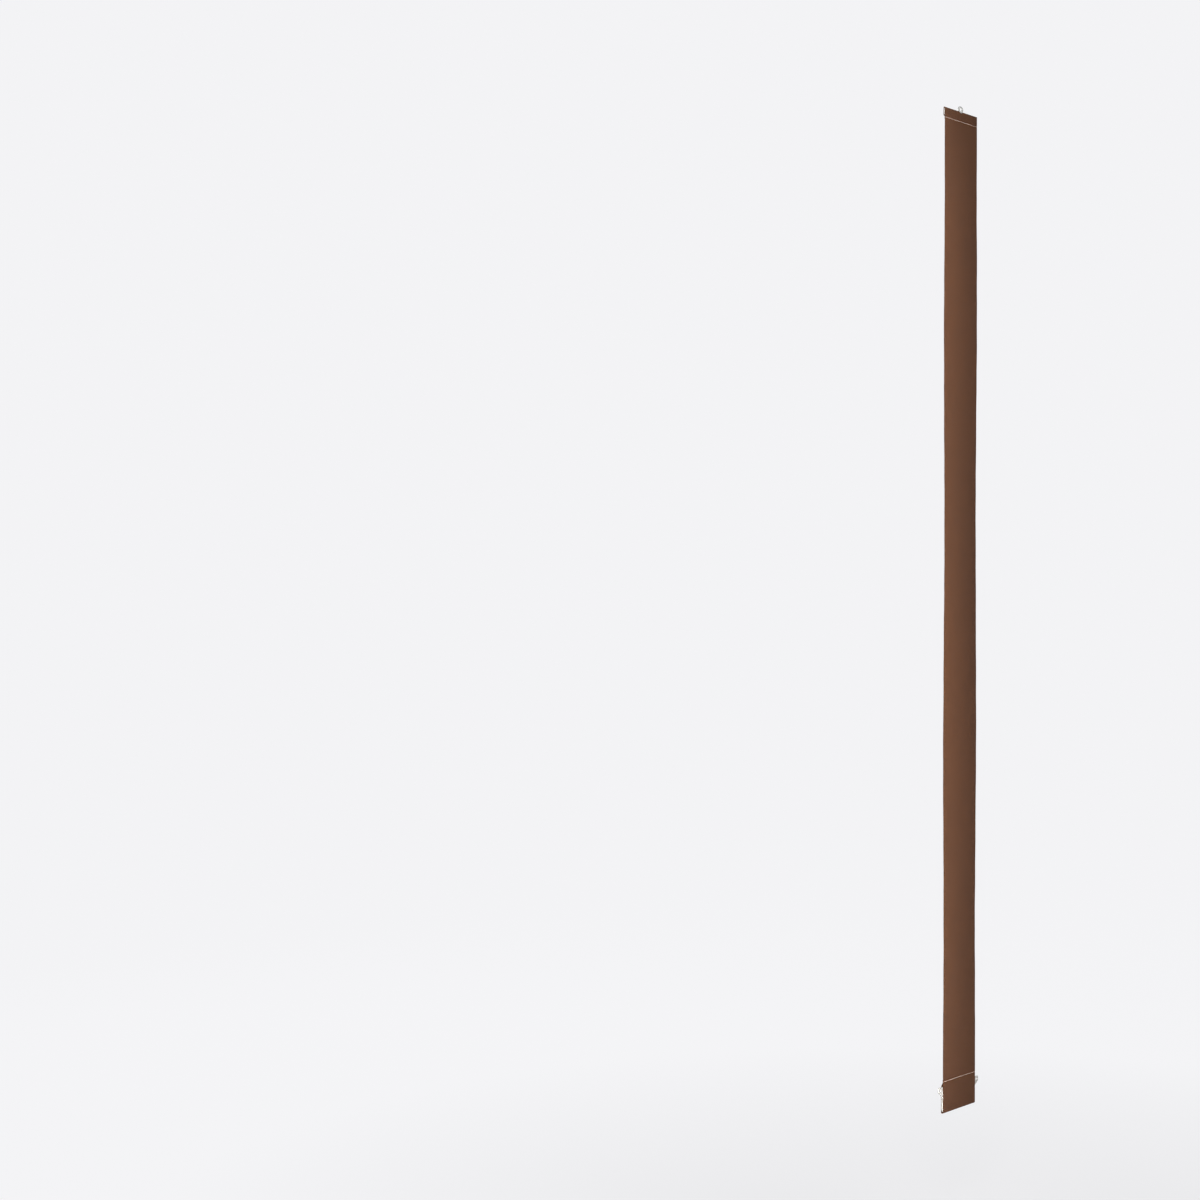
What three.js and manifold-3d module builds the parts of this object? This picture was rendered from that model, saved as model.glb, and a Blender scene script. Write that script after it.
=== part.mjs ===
// Vertical blind vane, hanging as it does in use.
// One strip of woven cloth is folded to the back at both ends and sewn across, which makes two pockets
// that are open at the sides. A moulded hanger lies in the top pocket, and its eye stands up through a
// notch in the fold. A flat weight lies in the bottom pocket, with a chain clip at each end.
// Millimetres, +Z up. The origin is the point where the eye bears on its hook: the top of the eye's hole,
// in the middle of the vane's width and of the hanger's thickness. X runs along the width, and the flaps
// are on the +Y side.

import * as THREE from 'three';
import { mergeVertices } from 'three/addons/utils/BufferGeometryUtils.js';
import Module from 'manifold-3d';

const wasm = await Module();
wasm.setup();

// Cloth strip. The height is from the top fold to the bottom fold.
const VANE_WIDTH = 127;
const VANE_HEIGHT = 1975;
const CLOTH_THICKNESS = 0.5;
const FLAP_BEYOND_SEAM = 3.5;
const SEAM_PRESS = 1;
const FLAP_CURVE_EASE = 0.42;
const POCKET_CLEARANCE = 0.3;
const TOP_POCKET_ROOM = 4.7;
const BOTTOM_POCKET_ROOM = 10.5;
const FLAP_CURVE_START = 0.5;

// Hanger: a flat plate in the top pocket, with long shallow recesses and a thicker eye at the middle.
const HANGER_HEIGHT = 14.5;
const HANGER_THICKNESS = 1.6;
const HANGER_EDGE_RADIUS = 0.5;
const HANGER_CORNER_RADIUS = 3;
const HANGER_END_GAP = 1;
const HANGER_RIM = 2.2;
const HANGER_RECESS_DEPTH = 0.3;
const HANGER_HUB_WIDTH = 22;
const EYE_HOLE_WIDTH = 9;
const EYE_HOLE_HEIGHT = 7.5;
const EYE_SIDE_WALL = 4.8;
const EYE_END_WALL = 2.8;
const EYE_THICKNESS = 2.2;
const EYE_EDGE_RADIUS = 0.7;
const EYE_DIP = 2.5;
const NOTCH_CLEARANCE = 0.5;

// Weight: a flat moulded slab in the bottom pocket. Its clips carry the spacer chain.
const WEIGHT_HEIGHT = 51.5;
const WEIGHT_THICKNESS = 2.9;
const WEIGHT_EDGE_RADIUS = 1;
const WEIGHT_FOOT_RADIUS = 8;
const WEIGHT_SHOULDER_RADIUS = 1.5;
const WEIGHT_END_PROUD = 0.5;
const WEIGHT_RIM = 4;
const WEIGHT_RECESS_DEPTH = 0.3;
const WEIGHT_RECESS_RADIUS = 3;
const CLIP_REACH = 14;
const CLIP_OUTER_HEIGHT = 9.5;
const CLIP_ROOT_HEIGHT = 19;
const CLIP_THICKNESS = 2;
const CLIP_EDGE_RADIUS = 0.5;
const CLIP_CORNER_RADIUS = 3;
const CLIP_HOLE_DIAMETER = 6.4;
const CLIP_HOLE_WALL = 3.2;

// Lockstitch seams: one thread on the front, one on the back, meeting in every needle hole.
const THREAD_DIAMETER = 0.4;
const THREAD_CLEARANCE = 0.3;
const STITCH_LENGTH = 4;
const STITCH_ARCH = 0.2;
const SEAM_END_MARGIN = 2;

const CURVE_STEPS = 6;
const ROUND_STEPS = 28;
const HOLE_SIDES = 6;
const CUT_OVERRUN = 1;

const CLOTH_COLOUR = 0x6b4636;
const PLASTIC_COLOUR = 0xe9e6e0;
const THREAD_COLOUR = 0xcfae9c;

// Levels and planes that follow from the sizes above.
const EYE_WIDTH = EYE_HOLE_WIDTH + 2 * EYE_SIDE_WALL;
const EYE_HEIGHT = EYE_HOLE_HEIGHT + 2 * EYE_END_WALL;
const EYE_CENTRE_Z = - EYE_HOLE_HEIGHT / 2;
const TOP_FOLD_Z = EYE_CENTRE_Z - EYE_HEIGHT / 2 + EYE_DIP;
const BOTTOM_FOLD_Z = TOP_FOLD_Z - VANE_HEIGHT;

const FOLD_WALL = CLOTH_THICKNESS + POCKET_CLEARANCE;
const LEAF_FRONT_Y = - HANGER_THICKNESS / 2 - FOLD_WALL;
const LEAF_BACK_Y = LEAF_FRONT_Y + CLOTH_THICKNESS;
const SEAM_BACK_Y = LEAF_BACK_Y + CLOTH_THICKNESS;
const FLAP_TOP_Y = LEAF_BACK_Y + HANGER_THICKNESS + 2 * POCKET_CLEARANCE;
const FLAP_BOTTOM_Y = LEAF_BACK_Y + WEIGHT_THICKNESS + 2 * POCKET_CLEARANCE;

const HANGER_TOP_Z = TOP_FOLD_Z - FOLD_WALL;
const HANGER_FOOT_Z = HANGER_TOP_Z - HANGER_HEIGHT;
const TOP_SEAM_Z = HANGER_FOOT_Z - TOP_POCKET_ROOM;
const WEIGHT_FOOT_Z = BOTTOM_FOLD_Z + FOLD_WALL;
const WEIGHT_TOP_Z = WEIGHT_FOOT_Z + WEIGHT_HEIGHT;
const WEIGHT_CENTRE_Y = LEAF_BACK_Y + POCKET_CLEARANCE + WEIGHT_THICKNESS / 2;
const WEIGHT_LENGTH = VANE_WIDTH + 2 * WEIGHT_END_PROUD;
const BOTTOM_SEAM_Z = WEIGHT_TOP_Z + BOTTOM_POCKET_ROOM;

const NEEDLE_HOLE_RADIUS = THREAD_DIAMETER / 2 + THREAD_CLEARANCE;
const STITCH_COUNT = Math.floor( ( VANE_WIDTH - 2 * SEAM_END_MARGIN ) / STITCH_LENGTH );

const X_AXIS = new THREE.Vector3( 1, 0, 0 );
const Y_AXIS = new THREE.Vector3( 0, 1, 0 );
const Z_AXIS = new THREE.Vector3( 0, 0, 1 );

// Solids: joining and cutting closed meshes.

function solidFrom( geometry ) {

	const bare = geometry.clone();
	bare.deleteAttribute( 'normal' );
	bare.deleteAttribute( 'uv' );
	const merged = mergeVertices( bare );
	const vertProperties = new Float32Array( merged.attributes.position.array );
	const triVerts = new Uint32Array( merged.index.array );
	return new wasm.Manifold( new wasm.Mesh( { numProp: 3, vertProperties, triVerts } ) );

}

function geometryFrom( solid ) {

	const mesh = solid.getMesh();
	const geometry = new THREE.BufferGeometry();
	geometry.setAttribute( 'position', new THREE.BufferAttribute( mesh.vertProperties, 3 ) );
	geometry.setIndex( new THREE.BufferAttribute( mesh.triVerts, 1 ) );
	geometry.computeVertexNormals();
	return geometry;

}

// A plate drawn in x and z, as thick as given along y, centred on centreY, with its edges rounded.
function plateFrom( shape, thickness, edgeRadius, centreY ) {

	const geometry = new THREE.ExtrudeGeometry( shape, {
		depth: thickness - 2 * edgeRadius,
		curveSegments: CURVE_STEPS,
		bevelEnabled: edgeRadius > 0,
		bevelThickness: edgeRadius,
		bevelSize: edgeRadius,
		bevelOffset: - edgeRadius,
		bevelSegments: 2,
	} );
	geometry.translate( 0, 0, edgeRadius - thickness / 2 );
	geometry.applyMatrix4( new THREE.Matrix4().makeBasis( X_AXIS, Z_AXIS, Y_AXIS.clone().negate() ) );
	geometry.translate( 0, centreY, 0 );
	return solidFrom( geometry );

}

// A cutter for a recess in both faces of a plate.
function facePanels( shape, thickness, depth, centreY ) {

	const cutThickness = depth + CUT_OVERRUN;
	const offset = thickness / 2 - depth + cutThickness / 2;
	const front = plateFrom( shape, cutThickness, 0, centreY - offset );
	const back = plateFrom( shape, cutThickness, 0, centreY + offset );
	return front.add( back );

}

// A closed outline with round corners. Each corner is a Vector3 that holds x, z and the corner's radius.
function roundedShape( corners ) {

	const shape = new THREE.Shape();
	corners.forEach( ( corner, index ) => {

		const before = corners[ ( index + corners.length - 1 ) % corners.length ];
		const after = corners[ ( index + 1 ) % corners.length ];
		const here = new THREE.Vector2( corner.x, corner.y );
		if ( index === 0 ) shape.currentPoint.copy( here );
		if ( corner.z === 0 ) {

			shape.lineTo( here.x, here.y );
			return;

		}

		const towardsBefore = new THREE.Vector2( before.x, before.y ).sub( here ).normalize();
		const towardsAfter = new THREE.Vector2( after.x, after.y ).sub( here ).normalize();
		const halfAngle = Math.acos( towardsBefore.dot( towardsAfter ) ) / 2;
		const bisector = towardsBefore.clone().add( towardsAfter ).normalize();
		const centre = here.clone().addScaledVector( bisector, corner.z / Math.sin( halfAngle ) );
		const start = here.clone().addScaledVector( towardsBefore, corner.z / Math.tan( halfAngle ) );
		const end = here.clone().addScaledVector( towardsAfter, corner.z / Math.tan( halfAngle ) );
		shape.absarc(
			centre.x, centre.y, corner.z, start.sub( centre ).angle(), end.sub( centre ).angle(), false );

	} );
	return shape;

}

function roundedBox( left, foot, right, top, footRadius, topRadius ) {

	return roundedShape( [
		new THREE.Vector3( left, foot, footRadius ),
		new THREE.Vector3( right, foot, footRadius ),
		new THREE.Vector3( right, top, topRadius ),
		new THREE.Vector3( left, top, topRadius ),
	] );

}

function ellipseShape( x, z, width, height ) {

	const curve = new THREE.EllipseCurve( x, z, width / 2, height / 2 );
	const points = curve.getPoints( ROUND_STEPS );
	points.pop();
	return new THREE.Shape( points );

}

// Cloth: its section is drawn in y and z and runs along the whole width.

// The middle line of a flap, from where it leaves the seam, round the insert, to the front leaf.
// The direction is 1 for the top pocket and -1 for the bottom one. Each arc draws the straight run up to it.
function flapLine( seamZ, insertEndZ, foldZ, flapY, insertEdgeRadius, direction ) {

	const half = CLOTH_THICKNESS / 2;
	const seamY = LEAF_BACK_Y + half;
	const backY = flapY + half;
	const leafY = LEAF_BACK_Y - half;
	const leaveZ = seamZ + direction * SEAM_PRESS;
	const settleZ = insertEndZ - direction * FLAP_CURVE_START;
	const ease = ( settleZ - leaveZ ) * FLAP_CURVE_EASE;
	const bend = insertEdgeRadius + POCKET_CLEARANCE + half;
	const bendZ = foldZ - direction * ( half + bend );
	const quarter = direction * Math.PI / 2;
	const clockwise = direction < 0;
	const path = new THREE.Path();
	path.moveTo( seamY, leaveZ );
	path.bezierCurveTo( seamY, leaveZ + ease, backY, settleZ - ease, backY, settleZ );
	path.absarc( backY - bend, bendZ, bend, 0, quarter, clockwise );
	path.absarc( leafY + bend, bendZ, bend, quarter, 2 * quarter, clockwise );
	return path;

}

// The points of a path moved sideways by a distance, to the left of its direction of travel.
function sidePoints( path, distance ) {

	const points = [];
	path.curves.forEach( ( curve ) => {

		const steps = curve.isLineCurve ? 1 : CURVE_STEPS;
		for ( let step = 0; step <= steps; step ++ ) {

			const tangent = curve.getTangent( step / steps );
			const point = curve.getPoint( step / steps );
			point.x -= tangent.y * distance;
			point.y += tangent.x * distance;
			const last = points[ points.length - 1 ];
			if ( ! last || last.distanceTo( point ) > CLOTH_THICKNESS / 20 ) points.push( point );

		}

	} );
	return points;

}

function clothSection() {

	const half = CLOTH_THICKNESS / 2;
	const topLine = flapLine( TOP_SEAM_Z, HANGER_FOOT_Z, TOP_FOLD_Z, FLAP_TOP_Y, HANGER_EDGE_RADIUS, 1 );
	const bottomLine = flapLine(
		BOTTOM_SEAM_Z, WEIGHT_TOP_Z, BOTTOM_FOLD_Z, FLAP_BOTTOM_Y, WEIGHT_EDGE_RADIUS, - 1 );
	const topFlapEndZ = TOP_SEAM_Z - FLAP_BEYOND_SEAM;
	const bottomFlapEndZ = BOTTOM_SEAM_Z + FLAP_BEYOND_SEAM;

	const outline = [
		new THREE.Vector2( LEAF_BACK_Y, topFlapEndZ ),
		new THREE.Vector2( SEAM_BACK_Y, topFlapEndZ ),
		...sidePoints( topLine, - half ),
		...sidePoints( bottomLine, half ).reverse(),
		new THREE.Vector2( SEAM_BACK_Y, bottomFlapEndZ ),
		new THREE.Vector2( LEAF_BACK_Y, bottomFlapEndZ ),
	];
	const section = new THREE.Shape( outline );
	section.holes.push( new THREE.Path( sidePoints( topLine, half ) ) );
	section.holes.push( new THREE.Path( sidePoints( bottomLine, - half ) ) );
	return section;

}

function needleHoles( seamZ ) {

	const depth = SEAM_BACK_Y - LEAF_FRONT_Y + 2 * CUT_OVERRUN;
	const hole = new THREE.CylinderGeometry( NEEDLE_HOLE_RADIUS, NEEDLE_HOLE_RADIUS, depth, HOLE_SIDES );
	hole.translate( 0, ( LEAF_FRONT_Y + SEAM_BACK_Y ) / 2, seamZ );
	const solid = solidFrom( hole );
	const holes = [];
	for ( let index = 0; index <= STITCH_COUNT; index ++ ) holes.push( solid.translate( holeX( index ), 0, 0 ) );
	return wasm.Manifold.union( holes );

}

function holeX( index ) {

	return ( index - STITCH_COUNT / 2 ) * STITCH_LENGTH;

}

function eyeNotch() {

	const width = EYE_WIDTH + 2 * NOTCH_CLEARANCE;
	const height = EYE_HEIGHT + 2 * NOTCH_CLEARANCE;
	const depth = FLAP_TOP_Y - LEAF_FRONT_Y + CLOTH_THICKNESS + 2 * CUT_OVERRUN;
	return plateFrom( ellipseShape( 0, EYE_CENTRE_Z, width, height ), depth, 0, 0 );

}

function makeCloth() {

	const strip = new THREE.ExtrudeGeometry( clothSection(), { depth: VANE_WIDTH, bevelEnabled: false } );
	strip.translate( 0, 0, - VANE_WIDTH / 2 );
	strip.applyMatrix4( new THREE.Matrix4().makeBasis( Y_AXIS, Z_AXIS, X_AXIS ) );
	return solidFrom( strip )
		.subtract( needleHoles( TOP_SEAM_Z ) )
		.subtract( needleHoles( BOTTOM_SEAM_Z ) )
		.subtract( eyeNotch() );

}

// Hanger: plate, recesses between the rim and the hub, and the eye on top of the hub.

function makeHanger() {

	const end = VANE_WIDTH / 2 - HANGER_END_GAP;
	const plateShape = roundedBox(
		- end, HANGER_FOOT_Z, end, HANGER_TOP_Z, HANGER_CORNER_RADIUS, HANGER_CORNER_RADIUS );
	const eyeShape = ellipseShape( 0, EYE_CENTRE_Z, EYE_WIDTH, EYE_HEIGHT );
	eyeShape.holes.push( ellipseShape( 0, EYE_CENTRE_Z, EYE_HOLE_WIDTH, EYE_HOLE_HEIGHT ) );
	const recessRadius = HANGER_CORNER_RADIUS / 2;
	const recessShape = roundedBox(
		HANGER_HUB_WIDTH / 2, HANGER_FOOT_Z + HANGER_RIM, end - HANGER_RIM, HANGER_TOP_Z - HANGER_RIM,
		recessRadius, recessRadius );
	const panels = facePanels( recessShape, HANGER_THICKNESS, HANGER_RECESS_DEPTH, 0 );
	return plateFrom( plateShape, HANGER_THICKNESS, HANGER_EDGE_RADIUS, 0 )
		.subtract( panels )
		.subtract( panels.mirror( [ 1, 0, 0 ] ) )
		.add( plateFrom( eyeShape, EYE_THICKNESS, EYE_EDGE_RADIUS, 0 ) );

}

// Weight: slab with a recess in each face, and a loop of its own thickness at each end.

function clipShape() {

	const end = WEIGHT_LENGTH / 2;
	const root = end - WEIGHT_RIM + CLIP_EDGE_RADIUS;
	const tip = end + CLIP_REACH;
	const top = WEIGHT_TOP_Z;
	const shape = roundedShape( [
		new THREE.Vector3( root, top - CLIP_ROOT_HEIGHT, 0 ),
		new THREE.Vector3( end, top - CLIP_ROOT_HEIGHT, 0 ),
		new THREE.Vector3( tip, top - CLIP_OUTER_HEIGHT, CLIP_CORNER_RADIUS ),
		new THREE.Vector3( tip, top, CLIP_CORNER_RADIUS ),
		new THREE.Vector3( root, top, 0 ),
	] );
	const fromEdge = CLIP_HOLE_WALL + CLIP_HOLE_DIAMETER / 2;
	shape.holes.push( ellipseShape( tip - fromEdge, top - fromEdge, CLIP_HOLE_DIAMETER, CLIP_HOLE_DIAMETER ) );
	return shape;

}

function makeWeight() {

	const end = WEIGHT_LENGTH / 2;
	const slabShape = roundedBox(
		- end, WEIGHT_FOOT_Z, end, WEIGHT_TOP_Z, WEIGHT_FOOT_RADIUS, WEIGHT_SHOULDER_RADIUS );
	const recessShape = roundedBox(
		- end + WEIGHT_RIM, WEIGHT_FOOT_Z + WEIGHT_RIM, end - WEIGHT_RIM, WEIGHT_TOP_Z - WEIGHT_RIM,
		WEIGHT_RECESS_RADIUS, WEIGHT_RECESS_RADIUS );
	const clip = plateFrom( clipShape(), CLIP_THICKNESS, CLIP_EDGE_RADIUS, WEIGHT_CENTRE_Y );
	return plateFrom( slabShape, WEIGHT_THICKNESS, WEIGHT_EDGE_RADIUS, WEIGHT_CENTRE_Y )
		.subtract( facePanels( recessShape, WEIGHT_THICKNESS, WEIGHT_RECESS_DEPTH, WEIGHT_CENTRE_Y ) )
		.add( clip )
		.add( clip.mirror( [ 1, 0, 0 ] ) );

}

// Stitching: drawn in x and y as a ladder of arched stitches, with one rung in every needle hole and a
// window for the cloth between the rungs.

function makeStitching( seamZ ) {

	const half = THREAD_DIAMETER / 2;
	const frontInner = LEAF_FRONT_Y - THREAD_CLEARANCE;
	const backInner = SEAM_BACK_Y + THREAD_CLEARANCE;
	const frontOuter = frontInner - half;
	const backOuter = backInner + half;
	const bulge = THREAD_DIAMETER + STITCH_ARCH;
	const firstX = holeX( 0 ) - half;
	const lastX = holeX( STITCH_COUNT ) + half;

	const ladder = new THREE.Shape();
	ladder.moveTo( firstX, backOuter );
	ladder.lineTo( firstX, frontOuter );
	for ( let index = 0; index < STITCH_COUNT; index ++ ) {

		const nextX = index + 1 === STITCH_COUNT ? lastX : holeX( index + 1 );
		const middleX = ( holeX( index ) + holeX( index + 1 ) ) / 2;
		ladder.quadraticCurveTo( middleX, frontOuter - bulge, nextX, frontOuter );

	}

	ladder.lineTo( lastX, backOuter );
	for ( let index = STITCH_COUNT; index > 0; index -- ) {

		const nextX = index === 1 ? firstX : holeX( index - 1 );
		const middleX = ( holeX( index ) + holeX( index - 1 ) ) / 2;
		ladder.quadraticCurveTo( middleX, backOuter + bulge, nextX, backOuter );

	}

	for ( let index = 0; index < STITCH_COUNT; index ++ ) {

		const left = holeX( index ) + half;
		const right = holeX( index + 1 ) - half;
		const middle = ( left + right ) / 2;
		const window = new THREE.Path();
		window.moveTo( left, frontInner );
		window.quadraticCurveTo( middle, frontInner - STITCH_ARCH, right, frontInner );
		window.lineTo( right, backInner );
		window.quadraticCurveTo( middle, backInner + STITCH_ARCH, left, backInner );
		ladder.holes.push( window );

	}

	const geometry = new THREE.ExtrudeGeometry( ladder, {
		depth: THREAD_DIAMETER,
		curveSegments: 4,
		bevelEnabled: false,
	} );
	geometry.translate( 0, 0, seamZ - half );
	return solidFrom( geometry );

}

function addPiece( name, solid, colour, roughness ) {

	const material = new THREE.MeshStandardMaterial( { color: colour, roughness, metalness: 0 } );
	const mesh = new THREE.Mesh( geometryFrom( solid ), material );
	mesh.name = name;
	group.add( mesh );

}

const group = new THREE.Group();
addPiece( 'fabric_vane', makeCloth(), CLOTH_COLOUR, 0.9 );
addPiece( 'top_hanger', makeHanger(), PLASTIC_COLOUR, 0.45 );
addPiece( 'bottom_weight', makeWeight(), PLASTIC_COLOUR, 0.4 );
addPiece( 'top_stitching', makeStitching( TOP_SEAM_Z ), THREAD_COLOUR, 0.7 );
addPiece( 'bottom_stitching', makeStitching( BOTTOM_SEAM_Z ), THREAD_COLOUR, 0.7 );

export default group;
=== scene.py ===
"""Looks of the vertical blind vane: woven strip with sewn pockets, moulded hanger and chain weight.

Metres, in the frame of the CAD model: X along the vane's width, -Y towards the viewer, +Z up, and the origin
at the top of the hanger's eye hole.
"""

import math

import bmesh
import bpy
import numpy as np
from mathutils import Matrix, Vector


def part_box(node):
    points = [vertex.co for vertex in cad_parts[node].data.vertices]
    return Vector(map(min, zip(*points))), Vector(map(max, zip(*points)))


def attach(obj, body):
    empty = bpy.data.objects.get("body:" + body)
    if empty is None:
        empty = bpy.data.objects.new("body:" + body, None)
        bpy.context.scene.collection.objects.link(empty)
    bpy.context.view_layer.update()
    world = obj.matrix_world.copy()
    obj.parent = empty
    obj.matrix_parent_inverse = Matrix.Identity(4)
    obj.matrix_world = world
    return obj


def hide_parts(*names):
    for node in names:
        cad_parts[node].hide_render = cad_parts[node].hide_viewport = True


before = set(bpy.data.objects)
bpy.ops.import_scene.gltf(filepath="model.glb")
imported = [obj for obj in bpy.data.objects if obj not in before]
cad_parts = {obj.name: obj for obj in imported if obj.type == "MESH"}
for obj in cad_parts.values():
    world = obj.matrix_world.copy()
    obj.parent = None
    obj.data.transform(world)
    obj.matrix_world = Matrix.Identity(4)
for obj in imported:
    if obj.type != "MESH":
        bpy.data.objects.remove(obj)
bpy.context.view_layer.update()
MM = 0.001

# Places and sizes read from the frame
cloth_low, cloth_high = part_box("fabric_vane")
hanger_low, hanger_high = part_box("top_hanger")
weight_low, weight_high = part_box("bottom_weight")
top_row_low, top_row_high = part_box("top_stitching")
bottom_row_low, bottom_row_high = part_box("bottom_stitching")
WIDTH = cloth_high.x - cloth_low.x
HALF_WIDTH = WIDTH / 2
TOP_FOLD = cloth_high.z
BOTTOM_FOLD = cloth_low.z
MIDDLE = (0, 0, (TOP_FOLD + BOTTOM_FOLD) / 2)
LEAF_FRONT = cloth_low.y
WEIGHT_MIDDLE = (weight_low.y + weight_high.y) / 2
TOP_SEAM = (top_row_low.z + top_row_high.z) / 2
BOTTOM_SEAM = (bottom_row_low.z + bottom_row_high.z) / 2

# Cloth
CLOTH = 0.46 * MM
CLOTH_RUN = "cloth_run"
WEAVE_PITCH = 0.52 * MM
FLAP_BEYOND_SEAM = 3.5 * MM
SEAM_PRESS = 1.0 * MM
SEAM_NEAR = 3.0 * MM
SEAM_FAR = 12.0 * MM
FLAP_SETTLE = 0.5 * MM
TOP_FLAP_BAND = 10 * MM
COLUMN = 1.0 * MM
ROW_LONG = 11.0 * MM
ROW_POCKET = 4.0 * MM
ROW_SEAM = 0.5 * MM
BEND_STEPS = 9
EASE_STEPS = 14
TOP_BEND = 0.95 * MM
BOTTOM_BEND = 1.5 * MM
CLOTH_SHARP = 50
NOTCH_CLEARANCE = 0.45 * MM
NOTCH_CUT = 12.0 * MM

# How the cloth hangs: waves are given in radians per metre
SLACK_RUN = 0.3
CUP = 3.0 * MM
SWAY = 0.9 * MM
SWAY_LENGTH = 0.83
SWAY_TWIST = 1.4
RIPPLE = 0.28 * MM
RIPPLE_IN_POCKET = 0.25
RIPPLE_ACROSS = 61
RIPPLE_ALONG = 43
DRIFT_ACROSS = 37
DRIFT_ALONG = 17
DRIFT_SLANT = 5
DRIFT_DEPTHS = (2.0, 1.7)
DIMPLE = 0.18 * MM
DIMPLE_REACH = 1.1 * MM
EDGE_WANDER = 0.12 * MM
WANDER_SLOW = 210
WANDER_QUICK = 611
WANDER_QUICK_SHARE = 0.6
WANDER_QUICK_START = 1.1

# Stitches
STITCH = 4.0 * MM
HOLE_FROM_END = 0.2 * MM
HOLE_START = top_row_low.x + HOLE_FROM_END
PLY_RADIUS = 0.165 * MM
PLY_OFFSET = 0.15 * MM
PLY_TWIST = 1.5 * MM
PLY_SIDES = 7
STITCH_STEPS = 22
STITCH_RISE = 4.5
STITCH_ROUND = 0.6
STITCH_ARCH = 0.12 * MM
TAIL = 2.2 * MM
TAIL_STEPS = 11
TAIL_RISE = 4.0
TAIL_ROUND = 0.5
TAIL_DROOP = 0.35 * MM
THREAD_SHARP = 60

# Moulded pieces
EYE_HALF_WIDTH = 9.3 * MM
EYE_HALF_HEIGHT = 6.55 * MM
EYE_CENTRE_Z = hanger_high.z - EYE_HALF_HEIGHT
EYE_WALL = 4.8 * MM
EYE_END_WALL = 2.8 * MM
EYE_EDGE = 0.8 * MM
EYE_STEPS = 96
PLATE_THICKNESS = 1.6 * MM
PLATE_TOP_GAP = 0.8 * MM
PLATE_END_GAP = 1.0 * MM
PLATE_CORNER = 3.0 * MM
PLATE_EDGE = 0.45 * MM
PLATE_RIM = 2.2 * MM
PLATE_HUB = 11.0 * MM
PLATE_RECESS = 0.3 * MM
PLATE_RECESS_CORNER = 1.5 * MM
WEIGHT_EDGE = 0.9 * MM
WEIGHT_FOOT_CORNER = 8.0 * MM
WEIGHT_SHOULDER = 1.5 * MM
WEIGHT_END = HALF_WIDTH + 0.5 * MM
WEIGHT_RIM = 4.0 * MM
WEIGHT_RECESS = 0.3 * MM
WEIGHT_RECESS_CORNER = 3.0 * MM
CLIP_THICKNESS = 2.0 * MM
CLIP_OUTER = 9.5 * MM
CLIP_ROOT = 19.0 * MM
CLIP_CORNER = 3.0 * MM
CLIP_EDGE = 0.45 * MM
CLIP_HOLE = 3.2 * MM
CLIP_HOLE_STEPS = 64
CLIP_WALL = 3.2 * MM
PARTING_RIDGE = 0.05 * MM
PARTING_HALF_WIDTH = 0.08 * MM
PARTING_ROOM = 0.1 * MM
EDGE_STEPS = 5
CORNER_STEPS = 10
SHARPEST_LEAN = 0.4
CUT_OVER = 1.0 * MM
MOULDING_SHARP = 32

# Colours, as linear values
BROWN_WARP = (0.206, 0.085, 0.041, 1)
BROWN_WEFT = (0.138, 0.061, 0.030, 1)
# The dark brown mixed into a narrow band along both side edges of the cloth
DARK_EDGE_BROWN = (0.050, 0.024, 0.015, 1)
THREAD_CREAM = (0.94, 0.74, 0.64, 1)
THREAD_SHADE = (0.76, 0.55, 0.46, 1)
HANGER_NATURAL = (0.60, 0.61, 0.60, 1)
HANGER_AGED = (0.55, 0.54, 0.49, 1)
WEIGHT_WHITE = (0.72, 0.71, 0.68, 1)
WEIGHT_AGED = (0.66, 0.63, 0.56, 1)
STAGE_PALE = (0.913, 0.913, 0.93, 1)
PLAIN_WHITE = (1.0, 1.0, 1.0, 1)

# Weave finish: cells are a noise's cells per metre, and a stretch below 1 draws them out along the yarn
WEAVE_SLUB = 0.7
WEAVE_UNEVENNESS = 2.2
LEAN_CELLS = 260.0
LEAN_STRETCH = 0.12
STREAK_CELLS = 900.0
WARP_STRETCH = 0.02
WEFT_STRETCH = 0.03
WARP_STREAK_SHARE = 0.6
# HOLLOW_SHADE and CROWN_SHADE paint shade into the weave's colour: darker in the hollows between threads, a
# little lighter on their crowns
HOLLOW_SHADE = 0.62
CROWN_SHADE = 0.45
STREAK_HEIGHT = 0.2
WEAVE_ROUGHNESS = 0.9
CROWN_POLISH = -0.08
WEAVE_BUMP = (0.18 * MM, 0.7)
FUZZ_SIZE = 0.35 * MM
FUZZ_DEPTH = 0.35
FUZZ_BUMP = (0.05 * MM, 0.5)
FUZZ_FINE_SHARE = 0.6
FUZZ_COARSER = 0.09
# A band along both side edges: its width, how far its colour goes towards the dark edge brown, and how much
# smoother it is
EDGE_BAND_WIDTH = 0.9 * MM
EDGE_DARKENING_SHARE = 0.7
EDGE_BAND_POLISH = -0.2
CLOTH_SHEEN = 0.03
CLOTH_SPECULAR = 0.12

# Thread finish
THREAD_FUZZ_SIZE = 0.16 * MM
THREAD_FUZZ_DEPTH = 0.5
THREAD_FUZZ_BUMP = (0.03 * MM, 0.6)
THREAD_SHADE_START = 0.15
THREAD_ROUGHNESS = (0.5, 0.2)
THREAD_SHEEN = 0.2

# Moulded finish
AGEING_CELLS = 140.0
AGEING_START = 0.38
AGEING_GAIN = 2.6
MOULDED_ROUGHNESS = (0.36, 0.16)
MOULDED_BUMP = (0.02 * MM, 0.5)
HANGER_AGEING = 0.3
HANGER_GRAIN = 0.25 * MM
WEIGHT_AGEING = 0.45
WEIGHT_GRAIN = 0.4 * MM
PLASTIC_GLOW_THROUGH = 0.08
PLASTIC_GLOW_RADIUS = (0.002, 0.0018, 0.0015)
PLASTIC_GLOW_SCALE = 0.5

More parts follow.
